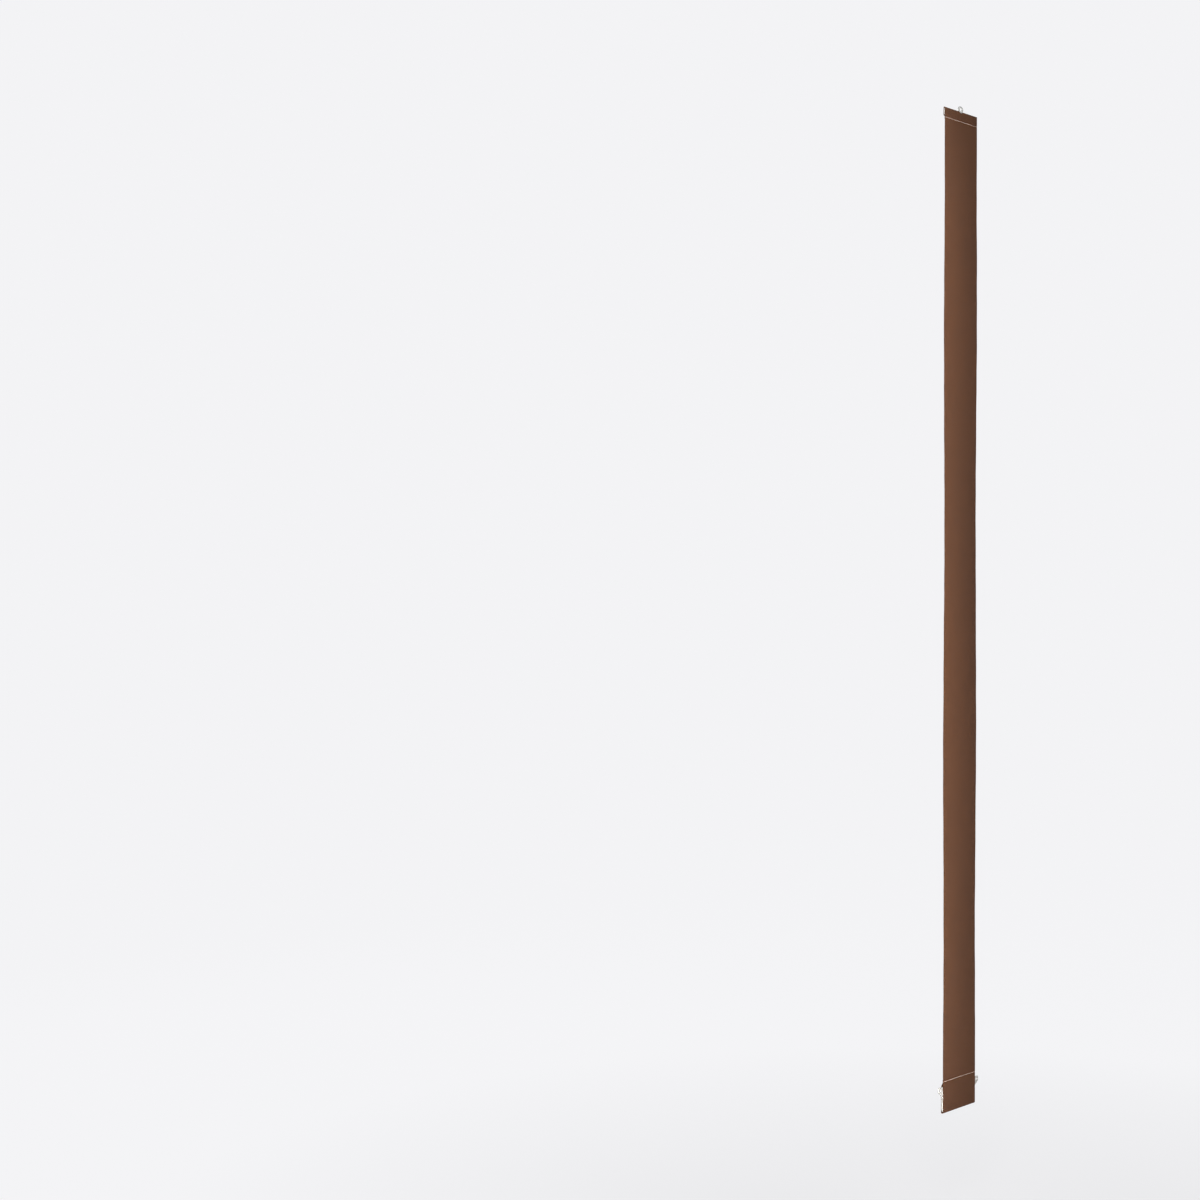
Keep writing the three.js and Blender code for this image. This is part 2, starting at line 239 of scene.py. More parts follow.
# Stage: a round cove, and how much of its own glow hides the lamps' light on it
FLOOR_GAP = 200 * MM
FLOOR_RINGS = (1.2, 3.0, 6.5)
COVE_BEND = 2.0
COVE_BEND_START = 0.1
COVE_BEND_STEPS = 14
COVE_HEIGHT = 5.5
COVE_SIDES = 72
COVE_ROUGHNESS = 0.9
COVE_SPECULAR = 0.1
FLOOR_GLOW = 0.8
WALL_GLOW = 0.98
FLOOR_LIT = 0.1
FLOOR_FADE = 1.5
AMBIENT = 0.07

# Lamps
KEY_BOX = {
    "place": (-0.27, -0.135, -0.99), "aim": (0, 0, -0.99), "size": (0.08, 2.12), "power": 3.95,
    "colour": (1.0, 0.98, 0.95), "spread": 135}
FILL_BOX = {
    "place": (2.4, -3.2, 0.6), "aim": MIDDLE, "size": (2.0, 2.0), "power": 2,
    "colour": (0.97, 0.98, 1.0), "spread": 180}
BACK_BOX = {
    "place": (0.6, 3.0, 0.2), "aim": MIDDLE, "size": (2.4, 2.4), "power": 54,
    "colour": (1.0, 1.0, 1.0), "spread": 180}
TOP_BOX = {
    "place": (0, 0, 2.6), "aim": (0, 0, 0), "size": (3.2, 3.2), "power": 28,
    "colour": (1.0, 1.0, 1.0), "spread": 180}

# Camera, fitted to the photograph
PHOTO_SIZE = 1200
FOCAL_PIXELS = 2270.03
HORIZON_PIXEL = 624.43
CAMERA_FROM_CORNER = Vector((-3.89906, -2.24902, 1.01914))
CAMERA_YAW = math.radians(38.593)
CAMERA_PITCH = math.radians(0.732)
SENSOR = 36.0


def linked(name, mesh):
    piece = bpy.data.objects.new(name, mesh)
    bpy.context.scene.collection.objects.link(piece)
    return piece


def mesh_object(name, vertices, faces):
    mesh = bpy.data.meshes.new(name)
    mesh.from_pydata([tuple(v) for v in vertices], [], faces)
    mesh.validate()
    return linked(name, mesh)


def smooth(piece, sharp_degrees):
    piece.data.shade_smooth()
    piece.data.set_sharp_from_angle(angle=math.radians(sharp_degrees))


def outward(piece):
    """Turns all faces out."""
    shell = bmesh.new()
    shell.from_mesh(piece.data)
    bmesh.ops.recalc_face_normals(shell, faces=shell.faces)
    shell.to_mesh(piece.data)
    shell.free()


def combine(piece, other, operation):
    """Joins other to piece, or cuts it away, and deletes other."""
    modifier = piece.modifiers.new(operation.lower(), "BOOLEAN")
    modifier.object = other
    modifier.operation = operation
    modifier.solver = "EXACT"
    ready = piece.evaluated_get(bpy.context.evaluated_depsgraph_get())
    result = bpy.data.meshes.new_from_object(ready)
    piece.modifiers.clear()
    result.name = piece.data.name
    piece.data = result
    bpy.data.objects.remove(other)


def unit(vectors):
    return vectors / np.linalg.norm(vectors, axis=1)[:, None]


def travelled(line):
    """The distance along a line of points, at each point."""
    return np.concatenate([[0], np.cumsum(np.linalg.norm(np.diff(line, axis=0), axis=1))])


# Cloth strip

def furthest_back(node, low, high):
    """The largest Y of a CAD node between two heights."""
    return max(v.co.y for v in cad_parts[node].data.vertices if low < v.co.z < high)


def straight(start, end, step):
    count = max(1, round(abs(end[1] - start[1]) / step))
    return [
        (start[0] + (end[0] - start[0]) * i / count, start[1] + (end[1] - start[1]) * i / count)
        for i in range(count)
    ]


def eased(start, end):
    """An S-shaped run that leaves and arrives upright."""
    points = []
    for i in range(EASE_STEPS):
        t = i / EASE_STEPS
        share = t * t * (3 - 2 * t)
        points.append((start[0] + (end[0] - start[0]) * share, start[1] + (end[1] - start[1]) * t))
    return points


def bent(centre, radius, start_angle, end_angle):
    angles = np.linspace(start_angle, end_angle, BEND_STEPS, endpoint=False)
    return [(centre[0] + radius * math.cos(a), centre[1] + radius * math.sin(a)) for a in angles]


def fold(back, leaf, fold_z, radius, up):
    """The cloth's middle line round an insert's edge, from the flap to the front leaf."""
    edge_z = fold_z - up * CLOTH / 2
    centre_z = edge_z - up * radius
    quarter = up * math.pi / 2
    over_back = bent((back - radius, centre_z), radius, 0, quarter)
    over_leaf = bent((leaf + radius, centre_z), radius, quarter, 2 * quarter)
    return over_back + over_leaf, centre_z


def strip_line():
    """The cloth's middle line in Y and Z, from the end of the top flap to the end of the bottom flap."""
    leaf = LEAF_FRONT + CLOTH / 2
    sewn = leaf + CLOTH
    top_back = furthest_back("fabric_vane", TOP_FOLD - TOP_FLAP_BAND, TOP_FOLD) - CLOTH / 2
    bottom_back = cloth_high.y - CLOTH / 2
    top_over, top_bend_z = fold(top_back, leaf, TOP_FOLD, TOP_BEND, 1)
    bottom_over, bottom_bend_z = fold(bottom_back, leaf, BOTTOM_FOLD, BOTTOM_BEND, -1)
    top_settle = hanger_low.z - FLAP_SETTLE
    bottom_settle = weight_high.z + FLAP_SETTLE

    line = straight((sewn, TOP_SEAM - FLAP_BEYOND_SEAM), (sewn, TOP_SEAM + SEAM_PRESS), ROW_SEAM)
    line += eased((sewn, TOP_SEAM + SEAM_PRESS), (top_back, top_settle))
    line += straight((top_back, top_settle), (top_back, top_bend_z), ROW_POCKET)
    line += top_over
    line += straight((leaf, top_bend_z), (leaf, TOP_SEAM + SEAM_NEAR), ROW_POCKET)
    line += straight((leaf, TOP_SEAM + SEAM_NEAR), (leaf, TOP_SEAM - SEAM_FAR), ROW_SEAM)
    line += straight((leaf, TOP_SEAM - SEAM_FAR), (leaf, BOTTOM_SEAM + SEAM_FAR), ROW_LONG)
    line += straight((leaf, BOTTOM_SEAM + SEAM_FAR), (leaf, BOTTOM_SEAM - SEAM_NEAR), ROW_SEAM)
    line += straight((leaf, BOTTOM_SEAM - SEAM_NEAR), (leaf, bottom_bend_z), ROW_POCKET)
    line += bottom_over[::-1]
    line += straight((bottom_back, bottom_bend_z), (bottom_back, bottom_settle), ROW_POCKET)
    line += eased((bottom_back, bottom_settle), (sewn, BOTTOM_SEAM - SEAM_PRESS))
    line += straight((sewn, BOTTOM_SEAM - SEAM_PRESS), (sewn, BOTTOM_SEAM + FLAP_BEYOND_SEAM), ROW_SEAM)
    line.append((sewn, BOTTOM_SEAM + FLAP_BEYOND_SEAM))
    return np.array(line)


def rippled(x, z):
    """Slow uneven waves over the leaf, between -1 and 1."""
    across = np.sin(RIPPLE_ACROSS * x + DRIFT_DEPTHS[0] * np.sin(DRIFT_ALONG * z))
    along = np.sin(RIPPLE_ALONG * z + DRIFT_DEPTHS[1] * np.sin(DRIFT_ACROSS * x + DRIFT_SLANT * z))
    return across * along


def hanging(x, y, z):
    """The strip's Y once it hangs: a shallow cup, a slow sway and ripples, all held flat by the inserts."""
    slack = np.clip(np.minimum(TOP_SEAM - z, z - BOTTOM_SEAM) / SLACK_RUN, 0, 1)
    slack = slack * slack * (3 - 2 * slack)
    across = x / HALF_WIDTH
    cup = -CUP * (1 - across ** 2) * slack
    sway = SWAY * np.sin(2 * math.pi * z / SWAY_LENGTH + SWAY_TWIST * across) * slack
    ripple = RIPPLE * rippled(x, z) * np.clip(slack * 3, RIPPLE_IN_POCKET, 1)
    return y + cup + sway + ripple


def dimpled(x, z):
    """How much the stitches pull the cloth thinner at each point."""
    dimple = 0
    for seam in (TOP_SEAM, BOTTOM_SEAM):
        near = np.exp(-((z - seam) / DIMPLE_REACH) ** 2)
        dimple = dimple + DIMPLE * near * np.cos(2 * math.pi * (x - HOLE_START) / STITCH)
    return dimple


def wandering(length):
    """How far the cut edges wander along the strip."""
    quick = WANDER_QUICK_SHARE * np.sin(length * WANDER_QUICK + WANDER_QUICK_START)
    return EDGE_WANDER * (np.sin(length * WANDER_SLOW) + quick) / (1 + WANDER_QUICK_SHARE)


def strip_faces(rows, columns):
    """Faces of both sides of the strip and of its four rims."""
    layer_size = rows * (columns + 1)

    def at(layer, row, column):
        return layer * layer_size + row * (columns + 1) + column

    faces = []
    for row in range(rows - 1):
        for column in range(columns):
            near = [at(0, row, column), at(0, row, column + 1)]
            far = [at(0, row + 1, column + 1), at(0, row + 1, column)]
            faces.append(near + far)
            faces.append([v + layer_size for v in reversed(near + far)])
        for column, flip in ((0, False), (columns, True)):
            rim = [at(0, row, column), at(0, row + 1, column), at(1, row + 1, column), at(1, row, column)]
            faces.append(rim[::-1] if flip else rim)
    for column in range(columns):
        for row, flip in ((0, True), (rows - 1, False)):
            rim = [at(0, row, column), at(0, row, column + 1), at(1, row, column + 1), at(1, row, column)]
            faces.append(rim if flip else rim[::-1])
    return faces


def make_cloth():
    line = strip_line()
    run = unit(np.gradient(line, axis=0))
    length = travelled(line)
    rows = len(line)
    columns = round(WIDTH / COLUMN)
    across = np.linspace(-1, 1, columns + 1)
    x = across[None, :] * (HALF_WIDTH - EDGE_WANDER + wandering(length)[:, None])
    z = np.repeat(line[:, 1:], columns + 1, axis=1)
    y = hanging(x, np.repeat(line[:, :1], columns + 1, axis=1), z)
    dimple = dimpled(x, z)
    normal_y = -run[:, 1][:, None]
    normal_z = run[:, 0][:, None]
    layers = []
    for side in (1, -1):
        offset = side * (CLOTH / 2 - dimple)
        layer = np.stack([x, y + normal_y * offset, z + normal_z * offset], axis=2)
        layers.append(layer.reshape(-1, 3))
    vertices = np.concatenate(layers)
    cloth = mesh_object("cloth_strip", vertices, strip_faces(rows, columns))
    run_map = cloth.data.uv_layers.new(name=CLOTH_RUN)
    along = np.tile(np.repeat(length, columns + 1), 2)
    for loop in cloth.data.loops:
        run_map.uv[loop.index].vector = (vertices[loop.vertex_index][0], along[loop.vertex_index])
    outward(cloth)
    notch_loop = ellipse(
        0, EYE_CENTRE_Z, EYE_HALF_WIDTH + NOTCH_CLEARANCE, EYE_HALF_HEIGHT + NOTCH_CLEARANCE, EYE_STEPS)
    combine(cloth, moulded_slab("notch_cutter", [notch_loop], 0, NOTCH_CUT, 0), "DIFFERENCE")
    smooth(cloth, CLOTH_SHARP)
    return cloth, length[-1]


# Moulded outlines, as loops of (x, z) that run anticlockwise, or clockwise round a hole

def ellipse(x, z, half_width, half_height, count):
    angles = np.linspace(0, 2 * math.pi, count, endpoint=False)
    return np.stack([x + half_width * np.cos(angles), z + half_height * np.sin(angles)], axis=1)


def round_cornered(corners):
    """A loop from (x, z, radius) corners given anticlockwise."""
    points = []
    for i, (x, z, radius) in enumerate(corners):
        here = np.array([x, z])
        before = np.array(corners[i - 1][:2]) - here
        after = np.array(corners[(i + 1) % len(corners)][:2]) - here
        before /= np.linalg.norm(before)
        after /= np.linalg.norm(after)
        if radius == 0:
            points.append(here)
            continue
        half = math.acos(float(before @ after)) / 2
        middle = (before + after) / np.linalg.norm(before + after)
        centre = here + middle * radius / math.sin(half)
        first = here + before * radius / math.tan(half) - centre
        last = here + after * radius / math.tan(half) - centre
        start = math.atan2(first[1], first[0])
        turn = (math.atan2(last[1], last[0]) - start) % (2 * math.pi)
        for angle in np.linspace(start, start + turn, CORNER_STEPS):
            points.append(centre + radius * np.array([math.cos(angle), math.sin(angle)]))
    return np.array(points)


def rounded_box(left, low, right, high, low_radius, high_radius):
    return round_cornered([
        (left, low, low_radius), (right, low, low_radius),
        (right, high, high_radius), (left, high, high_radius)])


def inset(loop, distance):
    """A loop moved to its left, which is into the material."""
    before = unit(loop - np.roll(loop, 1, axis=0))
    after = unit(np.roll(loop, -1, axis=0) - loop)
    both = before + after
    normal = unit(np.stack([-both[:, 1], both[:, 0]], axis=1))
    across_after = np.stack([-after[:, 1], after[:, 0]], axis=1)
    lean = np.maximum(SHARPEST_LEAN, (normal * across_after).sum(axis=1))
    return loop + normal * (distance / lean)[:, None]


def edge_profile(thickness, edge_radius):
    """(y, inset) steps over a slab's edge, with a moulding's fine parting ridge at mid-thickness."""
    if edge_radius == 0:
        return [(-thickness / 2, 0), (thickness / 2, 0)]
    straight_half = thickness / 2 - edge_radius
    back = []
    for angle in np.linspace(0, math.pi / 2, EDGE_STEPS + 1):
        back.append((straight_half + edge_radius * math.sin(angle), edge_radius * (1 - math.cos(angle))))
    front = [(-y, inward) for y, inward in reversed(back)]
    if straight_half <= PARTING_ROOM:
        return front + back
    return front + [(-PARTING_HALF_WIDTH, 0), (0, -PARTING_RIDGE), (PARTING_HALF_WIDTH, 0)] + back


def moulded_slab(name, loops, centre_y, thickness, edge_radius):
    """A closed slab of the outline loops[0] with the holes loops[1:], its edges rounded."""
    shell = bmesh.new()
    profile = edge_profile(thickness, edge_radius)
    caps = ([], [])
    for loop in loops:
        rings = []
        for y, inward in profile:
            ring = [shell.verts.new((x, centre_y + y, z)) for x, z in inset(loop, inward)]
            rings.append(ring)
        for near, far in zip(rings, rings[1:]):
            for i in range(len(loop)):
                j = (i + 1) % len(loop)
                shell.faces.new((near[i], near[j], far[j], far[i]))
        for cap, ring in zip(caps, (rings[0], rings[-1])):
            for i in range(len(loop)):
                cap.append(shell.edges.get((ring[i], ring[(i + 1) % len(loop)])))
    for cap in caps:
        bmesh.ops.triangle_fill(shell, use_beauty=True, edges=cap)
    bmesh.ops.recalc_face_normals(shell, faces=shell.faces)
    mesh = bpy.data.meshes.new(name)
    shell.to_mesh(mesh)
    shell.free()
    return linked(name, mesh)


def cut_recess(piece, outline, centre_y, thickness, depth):
    """Cuts the same shallow recess into both faces of a slab."""
    for side in (-1, 1):
        middle = centre_y + side * (thickness / 2 - depth + (depth + CUT_OVER) / 2)
        cutter = moulded_slab("recess_cutter", [outline], middle, depth + CUT_OVER, 0)
        combine(piece, cutter, "DIFFERENCE")


def make_hanger():
    end = HALF_WIDTH - PLATE_END_GAP
    foot = hanger_low.z
    top = TOP_FOLD - PLATE_TOP_GAP
    plate_loop = rounded_box(-end, foot, end, top, PLATE_CORNER, PLATE_CORNER)
    hanger = moulded_slab("hanger_moulding", [plate_loop], 0, PLATE_THICKNESS, PLATE_EDGE)
    for side in (-1, 1):
        left, right = sorted((side * PLATE_HUB, side * (end - PLATE_RIM)))
        recess = rounded_box(
            left, foot + PLATE_RIM, right, top - PLATE_RIM, PLATE_RECESS_CORNER, PLATE_RECESS_CORNER)
        cut_recess(hanger, recess, 0, PLATE_THICKNESS, PLATE_RECESS)
    outline = ellipse(0, EYE_CENTRE_Z, EYE_HALF_WIDTH, EYE_HALF_HEIGHT, EYE_STEPS)
    hole = ellipse(0, EYE_CENTRE_Z, EYE_HALF_WIDTH - EYE_WALL, EYE_HALF_HEIGHT - EYE_END_WALL, EYE_STEPS)
    eye = moulded_slab("eye", [outline, hole[::-1]], 0, hanger_high.y - hanger_low.y, EYE_EDGE)
    combine(hanger, eye, "UNION")
    smooth(hanger, MOULDING_SHARP)
    return hanger


def clip_loops(side, top):
    """Outline and hole of the chain clip at one end of the weight."""
    tip = weight_high.x
    root = WEIGHT_END - WEIGHT_RIM + CLIP_EDGE
    outline = round_cornered([
        (root, top - CLIP_ROOT, 0), (WEIGHT_END, top - CLIP_ROOT, 0), (tip, top - CLIP_OUTER, CLIP_CORNER),
        (tip, top, CLIP_CORNER), (root, top, 0)])
    hole_from_edge = CLIP_WALL + CLIP_HOLE
    hole = ellipse(tip - hole_from_edge, top - hole_from_edge, CLIP_HOLE, CLIP_HOLE, CLIP_HOLE_STEPS)[::-1]
    if side > 0:
        return [outline, hole]
    return [(loop * [-1, 1])[::-1] for loop in (outline, hole)]


def make_weight():
    thickness = weight_high.y - weight_low.y
    foot, top = weight_low.z, weight_high.z
    slab_loop = rounded_box(-WEIGHT_END, foot, WEIGHT_END, top, WEIGHT_FOOT_CORNER, WEIGHT_SHOULDER)
    weight = moulded_slab("chain_weight", [slab_loop], WEIGHT_MIDDLE, thickness, WEIGHT_EDGE)
    inner = WEIGHT_END - WEIGHT_RIM
    recess = rounded_box(
        -inner, foot + WEIGHT_RIM, inner, top - WEIGHT_RIM, WEIGHT_RECESS_CORNER, WEIGHT_RECESS_CORNER)
    cut_recess(weight, recess, WEIGHT_MIDDLE, thickness, WEIGHT_RECESS)
    for side in (-1, 1):
        clip = moulded_slab("clip", clip_loops(side, top), WEIGHT_MIDDLE, CLIP_THICKNESS, CLIP_EDGE)
        combine(weight, clip, "UNION")
    smooth(weight, MOULDING_SHARP)
    return weight


# Stitching: two plies twisted round each stitch's line

def twisted_plies(centre_line):
    """The tube rings of both plies along a line of points."""
    line = np.array(centre_line)
    upright = np.array([0, 0, 1.0])
    side = unit(np.cross(unit(np.gradient(line, axis=0)), upright))
    plies = []
    for ply in (0, 1):
        turn = 2 * math.pi * travelled(line) / PLY_TWIST + ply * math.pi
        middle = line + PLY_OFFSET * (np.cos(turn)[:, None] * side + np.sin(turn)[:, None] * upright)
        rings = []
        for k in range(PLY_SIDES):
            a = 2 * math.pi * k / PLY_SIDES
            rings.append(middle + PLY_RADIUS * (math.cos(a) * side + math.sin(a) * upright))
        plies.append(np.stack(rings, axis=1))
    return plies


def stitch_line(x, inside, rest, outward_sign):
    """One stitch: up out of a needle hole, along the cloth and down into the next hole."""
    points = []
    for i in range(STITCH_STEPS + 1):
        t = i / STITCH_STEPS
        lift = min(1, STITCH_RISE * min(t, 1 - t)) ** STITCH_ROUND
        arch = outward_sign * STITCH_ARCH * math.sin(math.pi * t)
        points.append((x + STITCH * t, inside + (rest - inside) * lift + arch * lift, 0))
    return points


def tail_line(start, inside, rest, end):
    """The cut end of a thread, which comes out of the last hole and droops."""
    points = []
    for i in range(TAIL_STEPS + 1):
        t = i / TAIL_STEPS
        lift = min(1, TAIL_RISE * t) ** TAIL_ROUND
        points.append((start + end * TAIL * t, inside + (rest - inside) * lift, -TAIL_DROOP * t * t))
    return points


def add_tube(rings, vertices, faces):
    base = len(vertices)
    steps = len(rings)
    vertices.extend(rings.reshape(-1, 3))
    for i in range(steps - 1):
        near = base + i * PLY_SIDES
        far = near + PLY_SIDES
        for k in range(PLY_SIDES):
            n = (k + 1) % PLY_SIDES
            faces.append([near + k, near + n, far + n, far + k])
    faces.append([base + k for k in range(PLY_SIDES)][::-1])
    faces.append([base + (steps - 1) * PLY_SIDES + k for k in range(PLY_SIDES)])


def make_stitching(name, seam):
    inside = LEAF_FRONT + CLOTH
    count = round(-2 * HOLE_START / STITCH)
    vertices, faces = [], []
    for surface, sign in ((LEAF_FRONT, -1), (LEAF_FRONT + 2 * CLOTH, 1)):
        rest = surface + sign * (PLY_OFFSET + PLY_RADIUS)
        lines = [stitch_line(HOLE_START + i * STITCH, inside, rest, sign) for i in range(count)]
        lines += [tail_line(-end * HOLE_START, inside, rest, end) for end in (-1, 1)]
        for points in lines:
            for rings in twisted_plies([(x, y, z + seam) for x, y, z in points]):
                add_tube(rings, vertices, faces)
    thread = mesh_object(name, vertices, faces)
    outward(thread)
    smooth(thread, THREAD_SHARP)
    return thread


# Shader groups

class Wiring:
    """Builds a chain of nodes in one node tree."""

    def __init__(self, tree):
        self.tree = tree

    def add(self, kind, **settings):
        node = self.tree.nodes.new(kind)
        for key, value in settings.items():
            setattr(node, key, value)
        return node

    def put(self, value, socket):
        if isinstance(value, bpy.types.NodeSocket):
            self.tree.links.new(value, socket)
        else:
            socket.default_value = value

    def math(self, operation, *values, clamp=False):
        node = self.add("ShaderNodeMath", operation=operation, use_clamp=clamp)
        for value, socket in zip(values, node.inputs):
            self.put(value, socket)
        return node.outputs[0]

    def blend(self, share, first, second):
        """first and second in the shares 1 - share and share, as numbers."""
        return self.math("ADD", self.math("MULTIPLY", first, 1 - share), self.math("MULTIPLY", second, share))

    def mix(self, share, first, second):
        """The same for colours."""
        node = self.add("ShaderNodeMix", data_type="RGBA")
        self.put(share, node.inputs["Factor"])
        self.put(first, node.inputs["A"])
        self.put(second, node.inputs["B"])
        return node.outputs["Result"]

    def shaded(self, colour, shade):
        node = self.add("ShaderNodeVectorMath", operation="SCALE")
        self.put(colour, node.inputs[0])
        self.put(shade, node.inputs["Scale"])
        return node.outputs[0]

    def noise(self, vector, scale, detail):
        node = self.add("ShaderNodeTexNoise")
        self.put(vector, node.inputs["Vector"])
        self.put(scale, node.inputs["Scale"])
        self.put(detail, node.inputs["Detail"])
        return node.outputs["Fac"]

    def stretched(self, vector, scale):
        node = self.add("ShaderNodeMapping")
        self.put(vector, node.inputs["Vector"])
        self.put(scale, node.inputs["Scale"])
        return node.outputs["Vector"]

    def parts(self, vector):
        node = self.add("ShaderNodeSeparateXYZ")
        self.put(vector, node.inputs[0])
        return node.outputs

    def place(self):
        return self.add("ShaderNodeTexCoord").outputs["Object"]


def node_group(name, inputs, outputs):
    group = bpy.data.node_groups.new(name, "ShaderNodeTree")
    for socket_name, socket_type, default in inputs:
        socket = group.interface.new_socket(socket_name, in_out="INPUT", socket_type=socket_type)
        socket.default_value = default
    for socket_name, socket_type in outputs:
        group.interface.new_socket(socket_name, in_out="OUTPUT", socket_type=socket_type)
    wiring = Wiring(group)
    return group, wiring, wiring.add("NodeGroupInput").outputs, wiring.add("NodeGroupOutput").inputs


def fibre_group():
    """Fine uneven fibre, used by the cloth and by the sewing thread."""
    group, w, given, out = node_group(
        "fibre_grain",
        [("Size", "NodeSocketFloat", FUZZ_SIZE), ("Depth", "NodeSocketFloat", FUZZ_DEPTH)],
        [("Shade", "NodeSocketFloat"), ("Height", "NodeSocketFloat")])
    place = w.place()
    cells = w.math("DIVIDE", 1.0, given["Size"])
    fine = w.noise(place, cells, 3.0)
    coarse = w.noise(place, w.math("MULTIPLY", cells, FUZZ_COARSER), 2.0)
    centred = w.math("SUBTRACT", w.blend(1 - FUZZ_FINE_SHARE, fine, coarse), 0.5)
    w.put(w.math("MULTIPLY_ADD", centred, given["Depth"], 1.0), out["Shade"])
    w.put(fine, out["Height"])
    return group


def weave_group():
    """Plain weave: warp along the strip, weft across it, each thread going over and under by turns.

    It follows the strip's own run round the folds, from the map that make_cloth lays.
    """
    group, w, given, out = node_group(
        "plain_weave",
        [
            ("Warp Colour", "NodeSocketColor", BROWN_WARP),
            ("Weft Colour", "NodeSocketColor", BROWN_WEFT),
            ("Pitch", "NodeSocketFloat", WEAVE_PITCH),
            ("Slub", "NodeSocketFloat", WEAVE_SLUB),
            ("Unevenness", "NodeSocketFloat", WEAVE_UNEVENNESS),
        ],
        [("Colour", "NodeSocketColor"), ("Height", "NodeSocketFloat"), ("Roughness", "NodeSocketFloat")])
    place = w.add("ShaderNodeUVMap", uv_map=CLOTH_RUN).outputs[0]
    parts = w.parts(place)
    lean_across = w.noise(w.stretched(place, (1.0, LEAN_STRETCH, 1.0)), LEAN_CELLS, 2.0)
    lean_along = w.noise(w.stretched(place, (LEAN_STRETCH, 1.0, 1.0)), LEAN_CELLS, 2.0)
    across = w.math("DIVIDE", parts["X"], given["Pitch"])
    across = w.math("MULTIPLY_ADD", lean_across, given["Unevenness"], across)
    along = w.math("DIVIDE", parts["Y"], given["Pitch"])
    along = w.math("MULTIPLY_ADD", lean_along, given["Unevenness"], along)

    def crown(value):
        return w.math("SINE", w.math("MULTIPLY", w.math("FRACT", value), math.pi))

    def wave(own, other, sign):
        turn = w.math("COSINE", w.math("MULTIPLY", w.math("FLOOR", own), math.pi))
        swing = w.math("SINE", w.math("MULTIPLY", other, math.pi))
        return w.math("MULTIPLY_ADD", w.math("MULTIPLY", turn, swing), 0.5 * sign, 0.5)

    warp = w.math("MULTIPLY", crown(across), wave(across, along, 1))
    weft = w.math("MULTIPLY", crown(along), wave(along, across, -1))
    warp_on_top = w.math("GREATER_THAN", warp, weft)
    height = w.math("MAXIMUM", warp, weft)

    warp_streak = w.noise(w.stretched(place, (1.0, WARP_STRETCH, 1.0)), STREAK_CELLS, 2.0)
    weft_streak = w.noise(w.stretched(place, (WEFT_STRETCH, 1.0, 1.0)), STREAK_CELLS, 2.0)
    streak = w.math("SUBTRACT", w.blend(1 - WARP_STREAK_SHARE, warp_streak, weft_streak), 0.5)
    slub = w.math("MULTIPLY_ADD", streak, given["Slub"], 1.0)
    # Painted shade: the colour is darkened in the weave's hollows and lightened a little on the thread
    # crowns, following the weave's height
    painted_hollow_shade = w.math("MULTIPLY_ADD", height, CROWN_SHADE, HOLLOW_SHADE)
    colour = w.mix(warp_on_top, given["Weft Colour"], given["Warp Colour"])
    w.put(w.shaded(colour, w.math("MULTIPLY", slub, painted_hollow_shade)), out["Colour"])
    w.put(w.math("MULTIPLY_ADD", streak, STREAK_HEIGHT, height), out["Height"])
    w.put(w.math("MULTIPLY_ADD", height, CROWN_POLISH, WEAVE_ROUGHNESS), out["Roughness"])
    return group


def moulded_group():
    """Moulded plastic: slight ageing in patches and a fine spark-eroded skin."""
    group, w, given, out = node_group(
        "moulded_skin",
        [
            ("Clean Colour", "NodeSocketColor", WEIGHT_WHITE),
            ("Aged Colour", "NodeSocketColor", WEIGHT_AGED),
            ("Ageing", "NodeSocketFloat", WEIGHT_AGEING),
            ("Grain Size", "NodeSocketFloat", WEIGHT_GRAIN),
        ],
        [("Colour", "NodeSocketColor"), ("Height", "NodeSocketFloat"), ("Roughness", "NodeSocketFloat")])
    place = w.place()
    patches = w.noise(place, AGEING_CELLS, 3.0)
    grain = w.noise(place, w.math("DIVIDE", 1.0, given["Grain Size"]), 2.0)
    aged = w.math("SUBTRACT", patches, AGEING_START, clamp=True)
    aged = w.math("MULTIPLY", aged, given["Ageing"], clamp=True)
    aged = w.math("MULTIPLY", aged, AGEING_GAIN, clamp=True)
    w.put(w.mix(aged, given["Clean Colour"], given["Aged Colour"]), out["Colour"])
    w.put(grain, out["Height"])
    w.put(w.math("MULTIPLY_ADD", patches, MOULDED_ROUGHNESS[1], MOULDED_ROUGHNESS[0]), out["Roughness"])
    return group


# Materials

def new_material(name):
    material = bpy.data.materials.new(name)
    material.use_nodes = True
    tree = material.node_tree
    surface = tree.nodes["Principled BSDF"]
    return material, Wiring(tree), surface.inputs


def placed_group(wiring, group, **values):
    node = wiring.add("ShaderNodeGroup", node_tree=group)
    for key, value in values.items():
        wiring.put(value, node.inputs[key.replace("_", " ")])
    return node.outputs


def bumped(wiring, height, bump, under=None):
    """A normal from a height, with bump as (distance, strength)."""
    node = wiring.add("ShaderNodeBump")
    wiring.put(height, node.inputs["Height"])
    node.inputs["Distance"].default_value = bump[0]
    node.inputs["Strength"].default_value = bump[1]
    if under is not None:
        wiring.put(under, node.inputs["Normal"])
    return node.outputs["Normal"]


